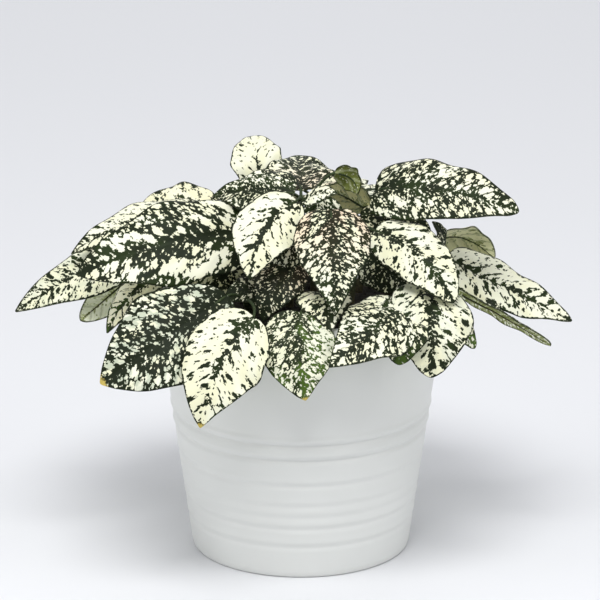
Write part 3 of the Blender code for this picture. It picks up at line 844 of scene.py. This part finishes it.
class LeafPaint(Paint):
    """What both sides of a blade share: where a place lies and the pattern there."""

    def __init__(self, name):
        super().__init__(name, LEAF_ROUGHNESS)
        self.shader.inputs["Specular IOR Level"].default_value = LEAF_SHINE
        self.way, self.out, seed = self.attribute("vein")
        self.place, self.rise, self.inset = self.attribute("place")
        self.cream, self.size, self.rib = self.attribute("look")
        self.gold, self.blush, self.fresh = self.attribute("tint")
        self.golden_tip, self.frost, _ = self.attribute("tip")
        layer = self.times(seed, LAYER_APART)
        across_broad = self.over(self.way, BROAD_ALONG)
        out_broad = self.over(self.out, BROAD_OUT)
        self.broad = self.grain(self.vector(across_broad, out_broad, layer), 1.0, detail=1.0)
        fine_place = self.vector(self.over(self.way, MM), self.over(self.out, MM), layer)
        self.fine = self.grain(fine_place, FINE_SCALE)
        # Places are measured square to the side veins and along them, and wander a little.
        start = self.times(seed, LEAF_APART)
        slope = self.sum(VEIN_SLOPE - SPLASH_SLANT, self.times(self.rise, VEIN_CURVE))
        side_way = self.sum(self.way, self.times(self.rise, slope))
        self.flat = self.vector(side_way, self.out, start)
        stray_across, stray_along = self.stray(self.flat, 1 / STRAY_SIZE, STRAY_REACH)
        self.across = self.sum(self.sum(side_way, start), stray_across)
        self.along = self.over(self.sum(self.out, stray_along), SPLASH_STRETCH)
        # Side veins leave the midrib in turn, first on one side and then on the other.
        left = self.maths("GREATER_THAN", self.out, 0.0)
        count = self.over(self.sum(self.way, stray_across), VEIN_SPACING)
        phase = self.maths("PINGPONG", self.sum(count, self.times(left, 0.5)), 0.5)
        self.vein = self.bell(self.times(phase, VEIN_SPACING), VEIN_WIDTH)

    def share(self):
        """The share of cream around a place: less by the midrib, the side veins and the margin."""
        width = self.ramp(self.place, 0.0, 1.0, BAND_BASE_WIDTH, BAND_TIP_WIDTH)
        band = self.bell(self.rise, self.times(self.rib, width))
        near = self.ramp(self.rise, *VEIN_FADE, 1.0, VEIN_FAR)
        faint = self.less(FAINT_GREEN, self.times(self.cream, FAINT_CREAM_LOSS))
        patches = self.grain(self.flat, 1 / PATCH_SIZE, detail=1.0)
        patchy = self.ramp(patches, *PATCH_TURN, faint, 1.0)
        losses = (
            (self.times(band, patchy), BAND_LOSS),
            (self.times(self.times(self.vein, near), patchy), VEIN_LOSS),
            (self.ramp(self.inset, *EDGE_FADE, 1.0, 0.0), EDGE_LOSS),
        )
        share = self.sum(self.cream, self.times(self.less(self.broad, 0.5), BROAD_SWING))
        for lost, most in losses:
            share = self.times(share, self.less(1.0, self.times(lost, most)))
        return self.ramp(share, 0.0, 1.0, LEAST_SHARE, MOST_SHARE)

    def splash(self):
        """How far inside the cream a place lies. Mostly cream parts have green dots instead."""
        share = self.share()
        mostly = self.ramp(share, *MOSTLY_CREAM)
        dots = self.scatter(self.across, self.along, self.size, share)
        gaps = self.scatter(
            self.sum(self.across, GAP_SHIFT),
            self.over(self.along, GAP_STRETCH),
            self.times(self.size, GAP_SIZE),
            self.less(1.0, share),
        )
        depth = self.less(self.times(dots, self.less(1.0, mostly)), self.times(gaps, mostly))
        ragged = self.less(self.grain(self.flat, 1 / RAGGED_SIZE, roughness=0.6), 0.5)
        reach = self.ramp(mostly, 0.0, 1.0, RAGGED_CREAM, RAGGED_GREEN)
        return self.sum(depth, self.times(ragged, reach))

    def upper_colors(self):
        """The cream and the green of the upper side."""
        light = self.mix(self.ramp(self.broad, *PALE_TURN), CREAM, PALE)
        light = self.mix(self.times(self.gold, self.ramp(self.fine, *GOLD_TURN)), light, GOLD)
        base = self.times(self.ramp(self.place, *BLUSH_ALONG), self.ramp(self.broad, *BLUSH_TURN))
        warm = self.times(self.blush, base)
        light = self.mix(warm, light, BLUSH)
        veil = self.ramp(self.grain(self.flat, 1 / VEIL_SIZE), *VEIL_TURN)
        light = self.mix(self.times(self.frost, veil), light, FROST)
        green = self.ramp(self.fine, *GREEN_TURN, 0.0, self.fresh)
        dark = self.mix(green, DARK_GREEN, LEAF_GREEN)
        grassy = self.times(self.fresh, self.ramp(self.broad, *GRASS_TURN))
        dark = self.mix(grassy, dark, GRASS_GREEN)
        return light, self.mix(warm, dark, BROWN)

    def under_colors_with_painted_light(self):
        """Paler underside cream and green, brightened further as painted light through the thin
        blade.
        """
        veined = self.times(self.vein, UNDER_VEIN_SHARE)
        cloudy = self.ramp(self.fine, *UNDER_LIGHT_TURN, 0.0, UNDER_LIGHT_MOST)
        light = self.mix(self.gold, self.mix(cloudy, UNDER_CREAM, UNDER_VEIN), UNDER_GOLD)
        milky = self.ramp(self.fine, *UNDER_DARK_TURN, 0.0, self.cream)
        dark = self.mix(milky, UNDER_GREEN, UNDER_VEIN)
        return self.mix(veined, light, UNDER_GREEN), self.mix(veined, dark, UNDER_VEIN)


def leaf_paint(name, under=False):
    """Cream splashes over green, with a thin dark line along the margin."""
    paint = LeafPaint(name)
    light, dark = paint.under_colors_with_painted_light() if under else paint.upper_colors()
    halo = paint.mix(HALO_SHARE, dark, UNDER_VEIN if under else LEAF_GREEN)
    splash = paint.splash()
    skin = paint.mix(paint.ramp(splash, *HALO), dark, halo)
    skin = paint.mix(paint.ramp(splash, *SPLASH_EDGE), skin, light)
    skin = paint.mix(paint.ramp(paint.inset, *MARGIN_LINE, MARGIN_DARK, 0.0), skin, DARK_GREEN)
    end = paint.sum(paint.place, paint.times(paint.fine, TIP_RAGGED))
    skin = paint.mix(paint.times(paint.golden_tip, paint.ramp(end, *TIP_TURN)), skin, TIP_GOLD)
    paint.bump(paint.fine, LEAF_BUMP_STRENGTH, LEAF_BUMP)
    return paint.color(skin)


# Stalk, soil and pot colours
# Stalk greens: the stems' own green, darkened as painted shade where the stalks lie among the
# leaves
STALK_GREENS_WITH_PAINTED_SHADE = ((0.016, 0.027, 0.010, 1), (0.045, 0.065, 0.024, 1))
STALK_BROWNS = ((0.03, 0.025, 0.015, 1), (0.08, 0.065, 0.035, 1))
STALK_TURN = (106 * MM, 126 * MM)  # the heights between which brown turns to green
# Soil browns: the mix's own dark brown, taken almost to black as painted shade under the leaves
EARTH_WITH_PAINTED_SHADE = ((0.004, 0.003, 0.002, 1), (0.018, 0.013, 0.009, 1))
FIBRE = (0.09, 0.06, 0.04, 1)
GLAZE = ((0.685, 0.695, 0.67, 1), (0.71, 0.72, 0.695, 1))
GLAZE_ROUGHNESS = (0.38, 0.48)
MIDDLE = (0.3, 0.7)  # the part of a noise's range that shades from one colour to the other
FIBRE_TURN = (0.66, 0.72)
STREAK_SCALE = 900
CRUMB_SCALE = 420
FIBRE_SCALE = 1500
CLOUD_SCALE = 22
SKIN_SCALE = 260


def stalk_paint():
    """Soft green stems, their green darkened as painted shade, browner and darker towards the soil.
    """
    paint = Paint("stalk", roughness=0.6)
    paint.shader.inputs["Specular IOR Level"].default_value = 0.2
    spot = paint.add("TexCoord").outputs["Object"]
    height = paint.split(spot)[2]
    streak = paint.grain(spot, STREAK_SCALE, detail=3.0, roughness=0.6)
    green = paint.mix(paint.ramp(streak, *MIDDLE), *STALK_GREENS_WITH_PAINTED_SHADE)
    brown = paint.mix(paint.ramp(streak, *MIDDLE), *STALK_BROWNS)
    paint.bump(streak, strength=0.3, distance=0.3 * MM)
    return paint.color(paint.mix(paint.ramp(height, *STALK_TURN), brown, green))


def soil_paint():
    """Dark potting mix, taken almost to black as painted shade under the leaves, with paler fibres
    and grit.
    """
    paint = Paint("potting_mix", roughness=0.95)
    spot = paint.add("TexCoord").outputs["Object"]
    crumb = paint.grain(spot, CRUMB_SCALE, detail=6.0, roughness=0.7)
    fibre = paint.grain(spot, FIBRE_SCALE)
    earth = paint.mix(paint.ramp(crumb, *MIDDLE), *EARTH_WITH_PAINTED_SHADE)
    paint.bump(crumb, strength=0.8, distance=1.2 * MM)
    return paint.color(paint.mix(paint.ramp(fibre, *FIBRE_TURN), earth, FIBRE))


def glaze_paint():
    """Satin off-white glaze with a very faint unevenness."""
    paint = Paint("off_white_glaze", roughness=0.42)
    spot = paint.add("TexCoord").outputs["Object"]
    cloud = paint.grain(spot, CLOUD_SCALE)
    skin = paint.grain(spot, SKIN_SCALE)
    paint.put(paint.shader.inputs["Roughness"], paint.ramp(cloud, *MIDDLE, *GLAZE_ROUGHNESS))
    paint.bump(skin, strength=0.05, distance=0.3 * MM)
    return paint.color(paint.mix(paint.ramp(cloud, *MIDDLE), *GLAZE))


def wall_radius(z):
    """The outer radius of the plain taper."""
    return POT_FOOT_RADIUS + (POT_RIM_RADIUS - POT_FOOT_RADIUS) * z / POT_HEIGHT


def ribbed_radius(z):
    """The outer radius with its grooves, each with a low ridge above it."""
    radius = wall_radius(z)
    for height, depth in zip(GROOVE_HEIGHTS, GROOVE_DEPTHS):
        radius -= depth * bell(z - height, GROOVE_WIDTH)
        radius += depth * RIDGE_SHARE * bell(z - height - RIDGE_ABOVE, RIDGE_WIDTH)
    return radius


def arc(center_r, center_z, radius, start, end, steps=6):
    """Points of an arc in the section, from angle start to end in degrees."""
    angles = [math.radians(blend(start, end, i / steps)) for i in range(steps + 1)]
    return [(center_r + radius * math.cos(a), center_z + radius * math.sin(a)) for a in angles]


def revolve(profile, sides):
    """A solid turned from a section of (radius, height) points that starts and ends on the axis."""
    builder = bmesh.new()
    verts = [builder.verts.new((r, 0, z)) for r, z in profile]
    edges = [builder.edges.new(pair) for pair in zip(verts, verts[1:])]
    bmesh.ops.spin(
        builder,
        geom=verts + edges,
        cent=(0, 0, 0),
        axis=(0, 0, 1),
        angle=math.tau,
        steps=sides,
        use_merge=True,
    )
    bmesh.ops.remove_doubles(builder, verts=builder.verts, dist=1e-6)
    bmesh.ops.recalc_face_normals(builder, faces=builder.faces)
    return builder


def make_pot():
    """The pot: a rounded foot, throwing ribs up to its middle, a rounded rim and a plain inside."""
    rim_z = POT_HEIGHT - RIM_ROUND
    foot = arc(POT_FOOT_RADIUS - FOOT_ROUND, FOOT_ROUND, FOOT_ROUND, -90, 0, steps=4)
    steps = round((POT_HEIGHT - RIM_ROUND - FOOT_ROUND) / POT_STEP)
    heights = [blend(FOOT_ROUND, rim_z, i / steps) for i in range(1, steps)]
    wall = [(ribbed_radius(z), z) for z in heights]
    rim = arc(POT_RIM_RADIUS - RIM_ROUND, rim_z, RIM_ROUND, 0, 90)
    rim += arc(POT_RIM_RADIUS - POT_WALL + RIM_ROUND, rim_z, RIM_ROUND, 90, 180)
    inner = wall_radius(POT_FLOOR) - POT_WALL
    lip = (POT_RIM_RADIUS - POT_WALL - LIP_SLOPE, POT_HEIGHT - LIP_DEPTH)
    inside = [lip, (inner, POT_FLOOR), (0, POT_FLOOR)]
    builder = revolve([(0, 0)] + foot + wall + rim + inside, POT_SIDES)
    # The wall wobbles a little, between the foot and the rim.
    for vert in builder.verts:
        out = Vector((vert.co.x, vert.co.y, 0))
        if out.length > inner + MM and WOBBLE_START < vert.co.z < rim_z:
            place = Vector((out.x * WOBBLE_AROUND, out.y * WOBBLE_AROUND, vert.co.z * WOBBLE_UP))
            vert.co += out.normalized() * HAND_WOBBLE * noise.noise(place)
    return add_piece("ribbed_pot", builder, [glaze_paint()], "pot_glaze", "pot")


def plug_radius(z):
    """The radius of the soil, which fills the pot's inside."""
    return wall_radius(z) - POT_WALL - SOIL_GAP


def make_soil():
    """The plug of potting mix, its lumpy top and loose crumbs on it."""
    floor = POT_FLOOR + SEAT_GAP
    radius = plug_radius(SOIL_EDGE)
    profile = [(0, floor), (plug_radius(floor), floor), (radius, SOIL_EDGE)]
    for ring in range(1, SOIL_RINGS + 1):
        out = 1 - ring / SOIL_RINGS
        profile.append((radius * out, SOIL_TOP + SOIL_MOUND * (1 - out * out)))
    builder = revolve(profile, SOIL_SIDES)
    for vert in builder.verts:
        if vert.co.z >= SOIL_TOP - MM:
            lump = noise.noise(vert.co / LUMP_SIZE)
            lump += SMALL_LUMP_SHARE * noise.noise(vert.co / SMALL_LUMP_SIZE)
            vert.co.z += LUMP_HEIGHT * lump
    golden = math.pi * (3 - math.sqrt(5))
    for index in range(CRUMBS):
        reach = radius * CRUMB_SPREAD * math.sqrt((index + 0.5) / CRUMBS)
        place = Vector((math.cos(index * golden), math.sin(index * golden), 0)) * reach
        place.z = SOIL_TOP + SOIL_MOUND * (1 - (reach / radius) ** 2)
        place.z += LUMP_HEIGHT * noise.noise(place / LUMP_SIZE)
        size = CRUMB_RADIUS + CRUMB_RADIUS_SWING * noise.noise(place * CRUMB_RADIUS_SCALE)
        crumb = bmesh.ops.create_icosphere(builder, subdivisions=1, radius=size)["verts"]
        for vert in crumb:
            rough = noise.noise(vert.co * CRUMB_ROUGHNESS_SCALE + place * CRUMB_APART)
            vert.co = place + vert.co * (1 + CRUMB_ROUGHNESS * rough)
    bmesh.ops.recalc_face_normals(builder, faces=builder.faces)
    return add_piece("potting_soil", builder, [soil_paint()], "soil", "soil")


# Stage
HEART = Vector((0, 0, 0.1))
BEHIND = Vector((0, 1.1, 0))
LIGHTS = {  # where each stands and aims, its size in metres and its power in watts
    "key": ((-0.06, -0.87, 1.72), HEART, 0.95, 25.5),
    "top": ((0, 0.5, 2.4), HEART, 2.0, 7),
    "left": ((-1.5, -0.6, 0.8), HEART, 1.2, 8.2),
    "right": ((1.5, -0.6, 0.8), HEART, 1.2, 7),
    "back": ((0, 1.9, 0.9), BEHIND, 1.2, 5.2),
}
SKY_COLOR = (0.80, 0.82, 0.86, 1)
SKY_STRENGTH = 0.5
FLOOR_SIZE = 6
FLOOR_COLOR = (0.71, 0.715, 0.735, 1)
CAMERA_AIM = Vector((-0.0004, 0, 0.1132))
CAMERA_DISTANCE = 2.0
CAMERA_ELEVATION = math.radians(18)
CAMERA_LENS = 270.7
CAMERA_SENSOR = 36


def add_stage_object(name, data, location=(0, 0, 0), aim=None):
    obj = bpy.data.objects.new(name, data)
    obj.location = location
    if aim is not None:
        obj.rotation_euler = (aim - Vector(location)).to_track_quat("-Z", "Y").to_euler()
    bpy.context.scene.collection.objects.link(obj)
    return obj


def make_floor():
    builder = bmesh.new()
    bmesh.ops.create_grid(builder, x_segments=1, y_segments=1, size=FLOOR_SIZE)
    mesh = bpy.data.meshes.new("floor")
    builder.to_mesh(mesh)
    builder.free()
    mesh.materials.append(Paint("floor", roughness=0.9).color(FLOOR_COLOR))
    floor = add_stage_object("floor", mesh)


def make_stage():
    """A plain pale floor, soft studio lights and the camera."""
    make_floor()
    for name, (location, aim, size, power) in LIGHTS.items():
        data = bpy.data.lights.new(name, "AREA")
        data.shape = "DISK"
        data.size = size
        data.energy = power
        add_stage_object(name, data, location, aim)
    world = bpy.data.worlds.new("studio")
    world.use_nodes = True
    sky = world.node_tree.nodes["Background"]
    sky.inputs["Color"].default_value = SKY_COLOR
    sky.inputs["Strength"].default_value = SKY_STRENGTH
    bpy.context.scene.world = world
    lens = bpy.data.cameras.new("camera")
    lens.lens = CAMERA_LENS
    lens.sensor_width = CAMERA_SENSOR
    away = Vector((0, -math.cos(CAMERA_ELEVATION), math.sin(CAMERA_ELEVATION)))
    camera = add_stage_object("camera", lens, CAMERA_AIM + away * CAMERA_DISTANCE, CAMERA_AIM)
    bpy.context.scene.camera = camera
    bpy.context.scene.view_settings.view_transform = "Standard"


def main():
    make_stage()
    make_pot()
    make_soil()
    leaf_faces = [leaf_paint("leaf_under", under=True), leaf_paint("leaf_upper")]
    stalk = stalk_paint()
    for name, stem in STEMS.items():
        add_stalks(name, stem, stalk)
        add_blades(name, stem, leaf_faces)


main()
